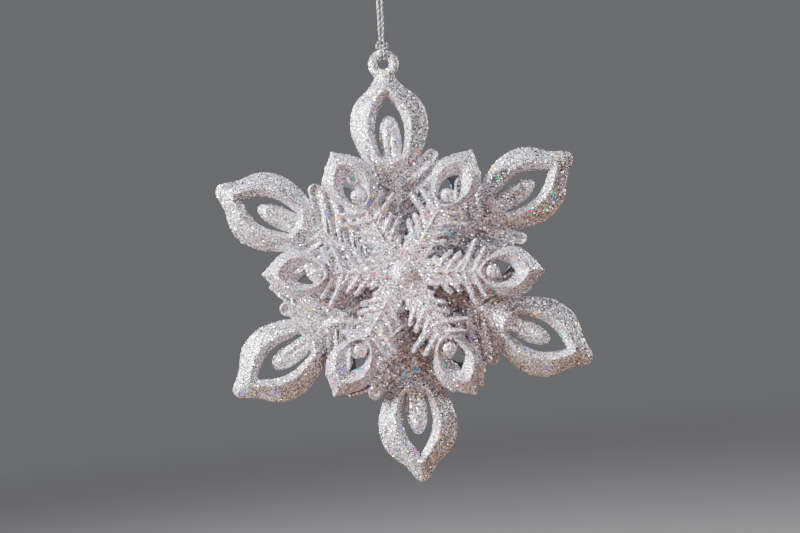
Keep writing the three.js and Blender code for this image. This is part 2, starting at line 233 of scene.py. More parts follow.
def mesh_object(name, pos_mm, faces, mats, face_mat=None, smooth=None):
    mesh = bpy.data.meshes.new(name)
    faces = np.asarray(faces)
    mesh.vertices.add(len(pos_mm))
    mesh.vertices.foreach_set("co", (np.asarray(pos_mm, float) * MM).astype(np.float32).ravel())
    n, width = faces.shape
    polygons = mesh.polygons
    mesh.loops.add(n * width)
    mesh.loops.foreach_set("vertex_index", faces.astype(np.int32).ravel())
    polygons.add(n)
    polygons.foreach_set("loop_start", np.arange(0, n * width, width, dtype=np.int32))
    polygons.foreach_set("loop_total", np.full(n, width, dtype=np.int32))
    smooth = np.zeros(n, bool) if smooth is None else np.asarray(smooth, bool)
    polygons.foreach_set("use_smooth", smooth)
    for material in mats:
        mesh.materials.append(material)
    if face_mat is not None:
        polygons.foreach_set("material_index", np.asarray(face_mat, np.int32))
    mesh.update()
    mesh.validate()
    ob = bpy.data.objects.new(name, mesh)
    bpy.context.collection.objects.link(ob)
    return ob


# ------------------------------------------------------------------ outlines
# Half outlines in mm, from tip to root: (distance from the hub along the arm, distance aside)
LARGE_RIM = smooth_outline([
    (63.1, 0), (62.8, 1.2), (61.9, 2.2), (60.4, 3.2), (59.0, 4.15), (57.9, 5.1), (57.0, 6.0),
    (56.3, 6.9), (55.5, 7.8), (54.7, 8.7), (53.7, 9.5), (52.6, 10.3), (51.2, 10.95), (49.4, 11.5),
    (47.0, 11.85), (44.2, 11.8), (41.0, 11.0), (37.2, 9.5), (33.5, 7.3), (29.5, 4.6), (26.0, 1.6),
    (25.2, 0)])
LARGE_HOLE = smooth_outline([
    (54.9, 0), (54.1, 0.65), (53.2, 1.35), (52.2, 2.1), (51.0, 2.85), (49.6, 3.55), (48.0, 4.15),
    (46.2, 4.55), (44.2, 4.65), (42.0, 4.5), (39.8, 4.1), (38.2, 3.7), (36.4, 3.1), (36.0, 0)])
SMALL_RIM = smooth_outline([
    (42.2, 0), (41.9, 0.5), (41.2, 0.95), (40.4, 1.9), (39.6, 2.9), (38.7, 3.8), (37.6, 4.85),
    (36.5, 5.8), (35.2, 6.6), (33.6, 7.15), (31.8, 7.35), (29.8, 7.0), (27.6, 6.0), (25.4, 4.6),
    (23.2, 2.9), (21.0, 0)])
SMALL_HOLE = smooth_outline([
    (33.3, 0), (32.9, 0.7), (32.2, 1.5), (31.2, 2.3), (30.0, 2.9), (28.6, 3.15), (27.0, 3.05),
    (25.6, 2.6), (24.6, 1.8), (24.1, 0)])
BUD = smooth_outline([
    (48.8, 0), (48.65, 0.85), (48.1, 1.55), (47.2, 2.15), (45.9, 2.7), (44.2, 3.1), (42, 3.3),
    (39.5, 3.3), (36, 3.1), (32, 2.85), (28, 2.6), (25.4, 2.3), (24.6, 0)])


# ------------------------------------------------------------------ tools for both layers
def fold(x, z, start):
    """Coordinates in the nearest arm's own frame, mirrored to one side: along, side, radius."""
    a = np.arctan2(z, x) - start
    r = np.hypot(x, z)
    a = a - ARM_PITCH * np.round(a / ARM_PITCH)
    return r * np.cos(a), np.abs(r * np.sin(a)), r


def next_arm(along, side):
    """The same point seen from the neighbouring arm, mirrored."""
    a = ARM_PITCH - np.arctan2(side, along)
    r = np.hypot(along, side)
    return r * np.cos(a), r * np.sin(a)


def hollow_petal(along, side, rim, hole, at, edge_in, ridge, edge_out, bulge):
    """Plan distance and height of a petal; its ridge runs at share `at` from hole to rim."""
    d_rim, d_hole = poly_distance(along, side, rim), poly_distance(along, side, hole)
    from_hole, from_rim = np.clip(d_hole, 0, None), np.clip(-d_rim, 0, None)
    t = from_hole / np.maximum(from_hole + from_rim, 1e-3)
    inner = edge_in + (ridge - edge_in) * (t / at)
    k = np.clip((1 - t) / (1 - at), 0, 1)
    outer = edge_out + (ridge - edge_out) * (k + bulge * k * (1 - k))
    return np.maximum(d_rim, -d_hole), np.where(t < at, inner, outer)


def raised(plan, height, level, cell, edge):
    """Solid under a height map, within a plan outline; its top edge is rounded by `edge`."""
    plan, height = plan.astype(np.float32), height.astype(np.float32)
    gx, gz = np.gradient(height, cell)
    slope = np.sqrt(1 + np.minimum(gx * gx + gz * gz, 9.0))[:, None, :].astype(np.float32)
    return smax(plan[:, None, :], (level - height[:, None, :]) / slope, edge)


# ------------------------------------------------------------------ large layer
# Leaves up each arm: (root along the arm, length, height of the rim)
LEAVES = [(26.6, 16.8, 2.75), (22.0, 17.2, 2.9), (17.6, 15.6, 3.0), (13.4, 12.6, 3.0),
          (9.4, 9.6, 3.0)]
LEAF_TURN = 56 * RAD  # angle between leaf and arm
LEAF_HALF = 2.2
LEAF_CENTRE = 0.58  # height of the hollow middle, as a share of the rim's
# (distance along the arm, half width) used for the bud's domed section
BUD_HALF = [(24, 2.3), (28, 2.6), (32, 2.85), (36, 3.1), (40, 3.3), (42.5, 3.3), (44.5, 3.05),
            (46, 2.7), (47.2, 2.15), (48.1, 1.55), (48.8, 0.9)]
SPINE_HALF = 1.3
EYELET_Z = 64.8
EYELET_RADIUS = 3.22
EYELET_WIRE = 1.47
EYELET_FROM = 52  # the eyelet only touches the field above this height


def leaf_shape(along, side, root, length, rise):
    """A leaf with a raised rim that runs round its rounded tip."""
    c, s = math.cos(LEAF_TURN), math.sin(LEAF_TURN)
    p = (along - root) * c + side * s
    q = -(along - root) * s + side * c
    q = q + 0.004 * (p - 6) ** 2 * np.sign(p - 6)  # slight bend either way from 6 mm up the leaf
    half = LEAF_HALF * table(p / length, [(-0.3, 0.55), (0, 0.66), (0.35, 0.9), (0.65, 1.0),
                                          (1, 1.0)])
    d = np.hypot(p - np.clip(p, 0, length - LEAF_HALF), q) - half
    height = rise * table(np.clip(-d, 0, None), [(0, 0.40), (0.5, 1.0), (1.25, LEAF_CENTRE),
                                                 (3, LEAF_CENTRE * 0.9)])
    return d, height * table(p / length, [(-1, 1), (0.75, 1), (1.05, 0.9)])


def bud_shape(along, side):
    """Long domed bud in the petal's opening, with a groove down its middle."""
    across = np.clip(side / table(along, BUD_HALF), 0, 1)
    height = (3.0 * np.sqrt(np.clip(1 - across ** 2.2, 0, 1))
              * np.sqrt(np.clip((49.0 - along) / 3.2, 0, 1)))
    groove = 0.7 * np.exp(-(side / 0.6) ** 2)
    groove = groove * table(along, [(26, 0.4), (29, 1), (41, 1), (44.5, 0)])
    return poly_distance(along, side, BUD), height - groove


def add_eyelet(field, x, y, z):
    """Ring on a short neck at the tip of the top petal."""
    top = z[0] > EYELET_FROM
    x, z, y = x[:, top][:, None, :], z[:, top][:, None, :], y[None, :, None]
    from_centre = np.hypot(x, z - EYELET_Z)
    ring = np.hypot(from_centre - EYELET_RADIUS, y) - EYELET_WIRE
    neck_z, neck_half_length, neck_radius = 60.4, 1.6, 2.1
    neck_end = np.maximum(np.abs(z - neck_z) - neck_half_length, 0)
    neck = np.hypot(np.hypot(x * 0.9, neck_end), y * 1.35) - neck_radius
    field[:, :, top] = smin(smin(field[:, :, top], neck, blend=0.8), ring, blend=0.7)
    hole = from_centre - (EYELET_RADIUS - EYELET_WIRE)
    field[:, :, top] = smax(field[:, :, top], -hole, blend=0.3)


def large_field(cell):
    ys = grid(-5.6, 5.6, cell)
    xs = grid(-59.0, 59.0, cell)
    zs = grid(-65.0, 71.5, cell)
    x, z = np.meshgrid(xs, zs, indexing="ij")
    along, side, radius = fold(x, z, LARGE_START)
    plan, height = hollow_petal(along, side, LARGE_RIM, LARGE_HOLE,
                                at=0.27, edge_in=2.2, ridge=4.5, edge_out=0.5, bulge=0.16)
    shapes = [(plan, height * table(along, [(0, 1), (57, 1), (63, 0.82)])),
              bud_shape(along, side)]
    # leaves up each arm, and those of the next arm
    for root, length, rise in LEAVES:
        for a, b in ((along, side), next_arm(along, side)):
            shapes.append(leaf_shape(a, b, root, length, rise))
    # spine up the arm
    height = 3.5 - 1.6 * np.clip(side / SPINE_HALF, 0, 1) ** 1.2
    shapes.append((np.maximum(side - SPINE_HALF, along - 28.5), height))
    # web under everything, and the hub: (radius, half thickness)
    for disc_radius, half_thickness in ((25.0, 1.35), (6.0, 5.0)):
        shapes.append((radius - disc_radius, np.full_like(radius, half_thickness)))
    level = np.abs(ys).astype(np.float32)[None, :, None]
    bodies = (raised(plan, height, level, cell, edge=0.32) for plan, height in shapes)
    field = next(bodies)
    for body in bodies:
        field = smin(field, body, blend=0.3)
    add_eyelet(field, x, ys, z)
    field = np.maximum(field, -(radius - BORE)[:, None, :])
    return field.astype(np.float32), (xs[0], ys[0], zs[0])


# ------------------------------------------------------------------ small layers
# Levels are depths outwards from the flake's middle plane.
# Needles: (root along the arm, tip along, tip aside, half width, crest level)
NEEDLES = [(6.4, 10.0, 4.95, 0.90, 11.2), (9.3, 14.6, 6.5, 0.98, 11.55),
           (12.6, 17.1, 5.9, 0.95, 11.75), (15.6, 19.6, 5.0, 0.88, 11.8),
           (17.9, 21.9, 9.8, 0.92, 12.0), (20.9, 24.4, 7.5, 0.88, 12.0)]
# (distance along the arm, half width) of the web between the needles
WEB_HALF = [(4, 2.6), (7, 3.9), (9.5, 4.2), (13, 3.9), (17, 3.7), (19.5, 3.8), (22, 4.1),
            (24, 4.2), (26, 4.3), (27.5, 3.2)]
BALL_ALONG, BALL_LEVEL, BALL_RADIUS = 26.2, 10.7, 2.25
STEM_HALF = 1.3
RIB_HALF = 0.75
COLLAR_RADIUS = 6.9
BOSS_RADIUS, BOSS_LEVEL, BOSS_HALF_THICKNESS = 5.0, 7.3, 2.0


def band(along, side, half, start, end):
    """Plan distance to a straight band along the arm."""
    return np.maximum(side - half, np.maximum(along - end, start - along))


def needle_shape(along, side, root, tip_along, tip_side, half, crest):
    dx, dy = tip_along - root, tip_side
    length = math.hypot(dx, dy)
    p = ((along - root) * dx + side * dy) / length
    q = (-(along - root) * dy + side * dx) / length
    q = q - 0.014 * p * (length - p)  # slight bow
    width = half * table(p / length, [(-0.2, 0.85), (0.0, 0.95), (0.5, 1.05), (0.8, 0.95),
                                      (1.0, 0.72)])
    d = np.hypot(p - np.clip(p, 0, length - half * 0.7), q) - width
    rounding = 1.9 * np.clip(np.abs(q) / half, 0, 1.2) ** 1.5
    tip_fall = 1.0 * np.clip((p - length * 0.6) / (length * 0.4), 0, 1.2) ** 2
    root_fall = 0.25 * np.clip(1 - p / length, 0, 1)
    return d, crest - rounding - tip_fall - root_fall


def small_field(cell, start):
    ws = grid(4.9, 13.9, cell)
    xs = grid(-43.4, 43.4, cell)
    x, z = np.meshgrid(xs, xs, indexing="ij")
    along, side, radius = fold(x, z, start)
    level = ws[None, :, None].astype(np.float32)

    def slab(plan, height, edge, back=SMALL_BACK):
        return smax(raised(plan, height, level, cell, edge), back - level, blend=0.25)

    plan, height = hollow_petal(along, side, SMALL_RIM, SMALL_HOLE,
                                at=0.50, edge_in=9.9, ridge=13.45, edge_out=9.2, bulge=0.18)
    share = table(along, [(0, 0.9), (22, 0.92), (27, 1), (37, 1), (42.2, 0.8)])
    field = slab(plan, SMALL_BACK + (height - SMALL_BACK) * share, edge=0.22)
    # ball bud on its short stem
    across = ((along - BALL_ALONG) ** 2 + side ** 2)[:, None, :]
    ball = np.sqrt(across + (level - BALL_LEVEL) ** 2) - BALL_RADIUS
    field = smin(field, ball, blend=0.3)
    height = 11.4 - 0.7 * (side / STEM_HALF) ** 2
    stem = slab(band(along, side, STEM_HALF, 19.0, 25.5), height, edge=0.3, back=8.2)
    field = smin(field, stem, blend=0.35)
    # rib up the arm
    height = (12.25 - 2.6 * np.clip(side / RIB_HALF, 0, 1) ** 0.8
              - table(along, [(6.5, 1.6), (9, 0.6), (13, 0.1), (20, 0), (25, 0.5)]))
    rib = slab(band(along, side, RIB_HALF, 6.0, 24.5), height, edge=0.2)
    field = smin(field, rib, blend=0.2)
    # web, cut round at its outer end
    plan = band(along, side, table(along, WEB_HALF), 3.0, 27.0)
    plan = np.maximum(plan, -(np.hypot((along - 27.6) * 0.9, side) - 3.2))
    height = (table(along, [(5, 10.8), (9, 10.9), (20, 10.75), (27, 10.1)])
              + 0.4 * np.clip(1 - side / 3.0, 0, 1))
    field = smin(field, slab(plan, height, edge=0.3), blend=0.3)
    # needles, and those of the next arm where they reach over
    for needle in NEEDLES:
        for a, b in ((along, side), next_arm(along, side)):
            body = slab(*needle_shape(a, b, *needle), edge=0.2, back=8.1)
            field = smin(field, body, blend=0.12)
    # hub: collar round a shallow dish, and a boss behind it
    height = table(radius, [(0, 10.3), (4.6, 10.2), (5.8, 10.35), (6.6, 10.5), (7.1, 10.35)])
    field = smin(field, slab(radius - COLLAR_RADIUS, height, edge=0.3), blend=0.35)
    boss = smax((radius - BOSS_RADIUS)[:, None, :],
                np.abs(level - BOSS_LEVEL) - BOSS_HALF_THICKNESS, blend=0.3)
    field = smin(field, boss, blend=0.3)
    field = np.maximum(field, -(radius - BORE)[:, None, :])
    return field.astype(np.float32), (xs[0], ws[0], xs[0])


# ------------------------------------------------------------------ glitter surface
def crests(pos, quads, nor, reach=0.28):
    """How far each point stands over its surroundings: +1 on a crest, -1 in a crease."""
    flat = relax(pos, quads, rounds=7, keep=0.3)
    height = ((pos - flat) * nor).sum(1)[:, None]
    height = relax(np.repeat(height, 3, 1), quads, rounds=1, keep=0.5)[:, 0]
    return np.clip(height / reach, -1, 1)


def painted_light_layer(ob, values):
    # the stored crest value drives the painted crest highlight and painted crease shade of the
    # glitter coat
    layer = ob.data.attributes.new("crest", "FLOAT", "POINT")
    layer.data.foreach_set("value", values.astype(np.float32))


def glitter_mesh(field, origin, cell, seed, plain=None):
    """Meshes a field and roughens it, except where plain(pos, normals) is 1."""
    pos, quads = keep_largest(*surface_net(field, origin, cell))
    pos = relax(pos, quads, rounds=1, keep=0.55)
    nor = vertex_normals(pos, quads)
    # tone: crest measure that the coat turns into painted highlight on crests and painted shade
    # in creases
    tone = crests(pos, quads, nor)
    rng = np.random.default_rng(seed)
    amount = np.full(len(pos), JITTER)
    if plain is not None:
        amount = amount * (1 - plain(pos, nor))
    pos = pos + nor * (rng.uniform(-1, 1, len(pos)) * amount)[:, None]
    drift = rng.uniform(-1, 1, (len(pos), 3))
    drift -= nor * (drift * nor).sum(1)[:, None]
    return pos + drift * (amount * 0.8)[:, None], quads, nor, tone


# ------------------------------------------------------------------ shader tools
def node(tree, kind, inputs=None, **settings):
    """Adds a node. Each input is given a socket to link or a value to hold."""
    made = tree.nodes.new("ShaderNode" + kind)
    for name, value in settings.items():
        setattr(made, name, value)
    for key, value in (inputs or {}).items():
        if isinstance(value, bpy.types.NodeSocket):
            tree.links.new(value, made.inputs[key])
        else:
            made.inputs[key].default_value = value
    return made


def new_material(name):
    material = bpy.data.materials.new(name)
    material.use_nodes = True
    material.node_tree.nodes.clear()
    return material, material.node_tree


def set_surface(tree, kind, inputs):
    shader = node(tree, kind, inputs)
    node(tree, "OutputMaterial", {0: shader.outputs[0]})


def math_node(tree, operation, first, second):
    return node(tree, "Math", {0: first, 1: second}, operation=operation).outputs[0]


def vector_math(tree, operation, inputs):
    return node(tree, "VectorMath", inputs, operation=operation).outputs[0]


def object_mm(tree):
    """Object coordinates in millimetres."""
    coords = node(tree, "TexCoord").outputs["Object"]
    return vector_math(tree, "SCALE", {0: coords, "Scale": 1 / MM})


def noise_fac(tree, vector, scale, detail=2.0):
    inputs = {"Vector": vector, "Scale": scale, "Detail": detail}
    return node(tree, "TexNoise", inputs).outputs[0]


def voronoi(tree, vector, scale):
    return node(tree, "TexVoronoi", {"Vector": vector, "Scale": scale}).outputs


def map_range(tree, value, source=(0.0, 1.0), target=(0.0, 1.0), **settings):
    inputs = {0: value, "From Min": source[0], "From Max": source[1],
              "To Min": target[0], "To Max": target[1]}
    return node(tree, "MapRange", inputs, **settings).outputs[0]


def mix_color(tree, factor, a, b):
    inputs = {"Factor": factor, "A": a, "B": b}
    return node(tree, "Mix", inputs, data_type="RGBA").outputs["Result"]


def ramp(tree, fac, stops, interpolation="CONSTANT"):
    """Colour ramp through (position, colour) stops."""
    made = node(tree, "ValToRGB", {0: fac})
    made.color_ramp.interpolation = interpolation
    elements = made.color_ramp.elements
    while len(elements) < len(stops):
        elements.new(0.5)
    for element, (position, color) in zip(elements, stops):
        element.position = position
        element.color = (*color, 1)
    return made.outputs[0]


def scaled(color, gain):
    return tuple(c * gain for c in color)


def tilted_normal(tree, color, amount):
    """Surface normal tilted by a random colour, times amount."""
    centred = vector_math(tree, "SUBTRACT", {0: color, 1: (0.5, 0.5, 0.5)})
    offset = vector_math(tree, "SCALE", {0: centred, "Scale": amount})
    normal = node(tree, "NewGeometry").outputs["Normal"]
    total = vector_math(tree, "ADD", {0: normal, 1: offset})
    return vector_math(tree, "NORMALIZE", {0: total})


# ------------------------------------------------------------------ materials
PLATELET_SCALE = 3.1  # platelets per mm
PROUD_SHARE = 0.36  # share of platelets that stand proud as bright foil


def glitter_material(name, tones, foils, metallic):
    """Metallised platelets: each cell has its own tone, tilt and gloss."""
    material, tree = new_material(name)
    vector = object_mm(tree)
    cell_color = voronoi(tree, vector, PLATELET_SCALE)["Color"]
    channels = node(tree, "SeparateColor", {0: cell_color}).outputs
    proud = math_node(tree, "GREATER_THAN", channels[1], 1 - PROUD_SHARE)
    foil = ramp(tree, channels[0], foils)
    base = mix_color(tree, proud, ramp(tree, channels[0], tones), foil)
    # broad, faint tint so that the coat isn't even
    shade = map_range(tree, noise_fac(tree, vector, scale=0.11),
                      source=(0.35, 0.65), target=(0.88, 1.06))
    # painted highlight: crests are made lighter, as if catching the light
    crest = node(tree, "Attribute", attribute_name="crest").outputs["Fac"]
    lift = map_range(tree, crest, source=(-0.8, 0.8), target=(1.0, 1.40))
    gain = math_node(tree, "MULTIPLY", shade, lift)
    crest_highlighted_base = vector_math(tree, "SCALE", {0: base, "Scale": gain})
    # painted shade: the creases get a slightly darker, warmer tint, standing for the warm bounce
    # light and shade in them
    crease_shade_tint = mix_color(tree, map_range(tree, crest, source=(-0.7, 0.1)),
                     (0.99, 0.985, 0.985, 1), (1.0, 1.0, 1.0, 1))
    color = vector_math(tree, "MULTIPLY", {0: crest_highlighted_base, 1: crease_shade_tint})
    # platelet tilt: most lie nearly flat, some stand proud and catch the light
    tilt = map_range(tree, proud, target=(0.34, 0.95))
    random_color = node(tree, "TexWhiteNoise", {"Vector": cell_color}).outputs["Color"]
    set_surface(tree, "BsdfPrincipled", {
        "Base Color": color,
        "Normal": tilted_normal(tree, random_color, tilt),
        "Roughness": map_range(tree, proud, target=(0.40, 0.2)),
        "Metallic": map_range(tree, proud, target=(metallic, 1.0))})
    return material


SILVER = glitter_material(
    "silver_glitter_coat",
    tones=[(0.0, (0.050, 0.046, 0.046)), (0.09, (0.20, 0.170, 0.155)),
           (0.17, (0.15, 0.155, 0.185)), (0.30, (0.36, 0.34, 0.36)),
           (0.46, (0.30, 0.31, 0.345)), (0.58, (0.60, 0.56, 0.60)),
           (0.72, (0.52, 0.53, 0.58)), (0.84, (0.86, 0.84, 0.87)), (0.94, (0.98, 0.92, 0.92))],
    foils=[(0.0, (0.30, 0.29, 0.31)), (0.22, (0.72, 0.70, 0.73)), (0.45, (0.97, 0.95, 0.98)),
           (0.90, (0.72, 0.84, 1.0)), (0.95, (1.0, 0.88, 0.80))],
    metallic=0.4)
PEARL = glitter_material(
    "pearl_glitter_coat",
    tones=[(0.0, (0.070, 0.058, 0.060)), (0.09, (0.26, 0.205, 0.195)),
           (0.17, (0.20, 0.185, 0.22)), (0.30, (0.43, 0.39, 0.445)),
           (0.46, (0.36, 0.34, 0.39)), (0.58, (0.67, 0.61, 0.68)),
           (0.72, (0.58, 0.56, 0.63)), (0.84, (0.91, 0.87, 0.95)), (0.94, (1.0, 0.92, 0.94))],
    foils=[(0.0, (0.34, 0.31, 0.34)), (0.22, (0.80, 0.74, 0.80)), (0.45, (1.0, 0.95, 1.0)),
           (0.88, (1.0, 0.74, 0.86)), (0.94, (0.78, 0.82, 1.0))],
    metallic=0.35)


def bare_plastic(name, color):
    """The uncoated backs: satin moulded plastic with faint flow marks and a few stray specks."""
    material, tree = new_material(name)
    vector = object_mm(tree)
    flow = noise_fac(tree, vector, scale=0.35, detail=4.0)
    plastic = ramp(tree, flow, [(0.3, scaled(color, 0.86)), (0.7, color)], "LINEAR")
    distance = voronoi(tree, vector, scale=1.4)["Distance"]
    speck = math_node(tree, "LESS_THAN", distance, 0.13)
    bump = node(tree, "Bump", {"Strength": 0.25, "Distance": 0.00008, "Height": flow})
    set_surface(tree, "BsdfPrincipled", {
        "Base Color": mix_color(tree, speck, plastic, (0.5, 0.49, 0.52, 1)),
        "Normal": bump.outputs[0],
        "Roughness": 0.38})
    return material


def cord_material(name, gain):
    """Metallic thread broken into small tilted facets."""
    material, tree = new_material(name)
    cell_color = voronoi(tree, object_mm(tree), scale=4.5)["Color"]
    red = node(tree, "SeparateColor", {0: cell_color}).outputs[0]
    tones = [(0.0, (0.12, 0.12, 0.125)), (0.16, (0.42, 0.42, 0.44)), (0.42, (0.80, 0.79, 0.83)),
             (0.8, (0.98, 0.98, 1.0))]
    set_surface(tree, "BsdfPrincipled", {
        "Base Color": ramp(tree, red, [(at, scaled(tone, gain)) for at, tone in tones]),
        "Normal": tilted_normal(tree, cell_color, amount=0.9),
        "Metallic": 0.8,
        "Roughness": 0.3})
    return material


def film_material(name, color):
    """An iridescent film platelet: its hue drifts a little from place to place."""
    material, tree = new_material("film_" + name)
    drift = noise_fac(tree, object_mm(tree), scale=0.9)
    light = tuple(min(1, c * 0.94 + 0.06) for c in color)
    stops = [(0.35, scaled(color, 0.85)), (0.5, color), (0.65, light)]
    set_surface(tree, "BsdfPrincipled", {
        "Base Color": ramp(tree, drift, stops, "LINEAR"),
        "Metallic": 0.1,
        "Roughness": 0.25,
        # painted glow: the film emits its own colour, standing for the coloured light it reflects
        "Emission Color": (*color, 1),
        "Emission Strength": 0.45,
        "Specular IOR Level": 0.2})
    return material


def foil_material(name, color, rough):
    """Bright metallised speck."""
    material, tree = new_material(name)
    drift = noise_fac(tree, object_mm(tree), scale=1.7)
    set_surface(tree, "BsdfPrincipled", {
        "Base Color": ramp(tree, drift, [(0.3, scaled(color, 0.75)), (0.7, color)], "LINEAR"),
        "Metallic": 0.9,
        "Roughness": rough})
    return material


# the backs' grey is partly their own plastic colour and partly painted shade: darkened for the
# shade they lie in between the layers
BARE = bare_plastic("bare_plastic_painted_shade", color=(0.105, 0.105, 0.108))
CORD_MATS = [cord_material("metallic_thread", gain=1.0),
             cord_material("thread_core_ply", gain=0.22)]
FILM_TINTS = {
    "cyan": (0.0, 0.60, 0.74), "blue": (0.02, 0.22, 0.85), "violet": (0.20, 0.12, 0.82),
    "magenta": (0.86, 0.05, 0.42), "green": (0.02, 0.62, 0.26), "gold": (1.0, 0.66, 0.05),
    "coral": (1.0, 0.22, 0.18), "ice": (0.78, 0.88, 1.0),
}
FILMS = [film_material(name, color) for name, color in FILM_TINTS.items()]
FOILS = [foil_material("foil_white", (0.96, 0.96, 0.98), rough=0.3),
         foil_material("foil_grey", (0.45, 0.45, 0.47), rough=0.3),
         foil_material("foil_rose", (0.97, 0.86, 0.91), rough=0.35),
         foil_material("foil_bright", (0.99, 0.99, 1.0), rough=0.18)]


# ------------------------------------------------------------------ build the layers
def placed(points, faces, outward):
    """Moves a piece to the hub; outward -1 mirrors it towards -Y and turns its faces."""
    return points * [1, outward, 1] + HUB, faces[:, ::-1] if outward < 0 else faces


def build_large():
    cell = 0.34
    pos, quads, nor, tone = glitter_mesh(*large_field(cell), cell, seed=11)
    ob = mesh_object("large_snowflake_coated", *placed(pos, quads, 1), [SILVER])
    # painted light: the middle, shaded by the front layer, gets a higher crest value so the coat
    # there is painted brighter
    radius = np.hypot(pos[:, 0], pos[:, 2])
    painted_light_layer(ob, tone + 0.8 * np.clip((30 - radius) / 4, 0, 1))
    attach(ob, "flake")
    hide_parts("large_snowflake")
    return pos, quads, nor


def pearl_piece(name, replaced, body, pos, quads, bare, tone, outward):
    """Pearl-coated piece; its bare faces are smooth plastic."""
    world, faces = placed(pos, quads, outward)
    ob = mesh_object(name, world, faces, [PEARL, BARE], bare.astype(int), bare)
    painted_light_layer(ob, tone)
    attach(ob, body)
    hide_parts(replaced)


def build_small(name, replaced, body, start, outward, seed):
    cell = 0.3

    def plain(pos, nor):
        # the back face is left uncoated
        return np.clip((-nor[:, 1] - 0.75) / 0.2, 0, 1)

    pos, quads, nor, tone = glitter_mesh(*small_field(cell, start), cell, seed, plain)
    mid, face = pos[quads].mean(1), nor[quads].mean(1)
    along, side, _ = fold(mid[:, 0], mid[:, 2], start)
    # bare: the lower part of the hole's wall, and the back short of the petals' edges
    near_hole = poly_distance(along, side, SMALL_HOLE) < 0.5
    wall = near_hole & (mid[:, 1] < 9.3) & (along > 28.2)
    within = (poly_distance(along, side, SMALL_RIM) < -0.9) | (along < 22)
    bare = ((-face[:, 1] > 0.8) & within) | wall
    # painted shade: the dish round the dome gets a lower crest value, so it is painted darker
    radius = np.hypot(pos[:, 0], pos[:, 2])
    tone = tone - 0.75 * np.clip((COLLAR_RADIUS - radius) / 1.2, 0, 1)
    pearl_piece(name, replaced, body, pos, quads, bare, tone, outward)
    return pos, quads, nor


large = build_large()
front = build_small("front_snowflake_coated", "front_snowflake", "front_layer",
                    start=FRONT_START, outward=-1, seed=21)
back = build_small("back_snowflake_coated", "back_snowflake", "back_layer",
                   start=BACK_START, outward=1, seed=22)


# ------------------------------------------------------------------ centre pin and rear cap
DOME_RADIUS, DOME_RISE, DOME_BASE = 3.7, 2.5, 10.6
DOME_COAT_FROM = 10.55  # bare below this level
SHANK_RADIUS, SHANK_BOTTOM, SHANK_TOP = 1.6, -11.8, 11.4
CAP_SOCKET_TOP = 12.2


def pin_field(cell, cap):
    xs = grid(-4.4, 4.4, cell)
    ws = grid(9.8 if cap else -12.6, 13.6, cell)
    x, z = np.meshgrid(xs, xs, indexing="ij")
    r = np.hypot(x, z)[:, None, :]
    level = ws[None, :, None]
    # domed head: an ellipsoid cut flat below
    ellipsoid = np.sqrt((r / DOME_RADIUS) ** 2 + ((level - DOME_BASE) / DOME_RISE) ** 2)
    dome = smax((ellipsoid - 1) * DOME_RISE, DOME_BASE - level, blend=0.35)
    if cap:
        field = smax(dome, -(np.maximum(r - BORE, level - CAP_SOCKET_TOP)), blend=0.05)
    else:
        ends = np.maximum(SHANK_BOTTOM - level, level - SHANK_TOP)
        field = smin(dome, np.maximum(r - SHANK_RADIUS, ends), blend=0.2)
    return field.astype(np.float32), (xs[0], ws[0], xs[0])


def build_pin(name, replaced, outward, cap, seed):
    cell = 0.22

    def plain(pos, nor):
        return (pos[:, 1] < DOME_COAT_FROM).astype(float)

    pos, quads, _, tone = glitter_mesh(*pin_field(cell, cap), cell, seed, plain)
    bare = pos[quads].mean(1)[:, 1] < DOME_COAT_FROM
    # painted highlight: the domes' crest value is raised so they are painted brighter
    pearl_piece(name, replaced, "flake", pos, quads, bare, tone + 0.35, outward)


build_pin("centre_pin_domed", "centre_pin", outward=-1, cap=False, seed=31)
build_pin("rear_cap_domed", "pin_cap", outward=1, cap=True, seed=32)


# ------------------------------------------------------------------ loose glitter platelets
PLATELET_GAP = 0.02
# Six-sided plate, points 0-5 below and 6-11 above: two quads per face, then the sides
PLATELET_FACES = np.array(
    [[6, 7, 8, 9], [6, 9, 10, 11], [5, 4, 3, 2], [5, 2, 1, 0]]
    + [[k, (k + 1) % 6, 6 + (k + 1) % 6, 6 + k] for k in range(6)])


def platelets(name, layer, count, seed, size, thick, mats, lift):
    """Thin six-sided platelets lying on the coat, each a closed solid; lift tilts them."""
    body, slot, (pos, quads, nor), outward, choose = layer
    rng = np.random.default_rng(seed)
    centres = pos[quads].mean(1)
    normals = nor[quads].mean(1)
    normals /= np.linalg.norm(normals, axis=1)[:, None]
    allowed = np.flatnonzero(choose(centres, normals))
    verts, face_mat = [], []
    for i in rng.choice(allowed, count, replace=False):
        normal = normals[i] + rng.normal(0, lift, 3)
        normal /= np.linalg.norm(normal)
        a = np.cross(normal, [0.3, 0.2, 0.9])
        a /= np.linalg.norm(a)
        b = np.cross(normal, a)
        turn = rng.uniform(0, 2 * math.pi)
        radius = size * rng.uniform(0.85, 1.1)
        for level in (PLATELET_GAP, PLATELET_GAP + thick):
            for k in range(6):
                t = turn + k * math.pi / 3
                verts.append(centres[i] + normal * level
                             + (a * math.cos(t) + b * math.sin(t)) * radius)
        face_mat += [int(rng.integers(len(mats)))] * len(PLATELET_FACES)
    faces = np.vstack([PLATELET_FACES + 12 * k for k in range(count)])
    ob = mesh_object(name, *placed(np.array(verts), faces, outward), mats, face_mat)
    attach(ob, body)


def outer_side(centres, normals):
    return normals[:, 1] > -0.3


def clear_of_thread(centres, normals):
    """Leaves the eyelet's bar free where the thread runs round it."""
    return np.linalg.norm(centres + HUB - BAR, axis=1) > 3.3


# (body, slot, surface, outward, which faces may carry platelets)
LARGE_LAYER = ("flake", "silver_glitter", large, 1, clear_of_thread)
FRONT_LAYER = ("front_layer", "pearl_glitter", front, -1, outer_side)
BACK_LAYER = ("back_layer", "pearl_glitter", back, 1, outer_side)

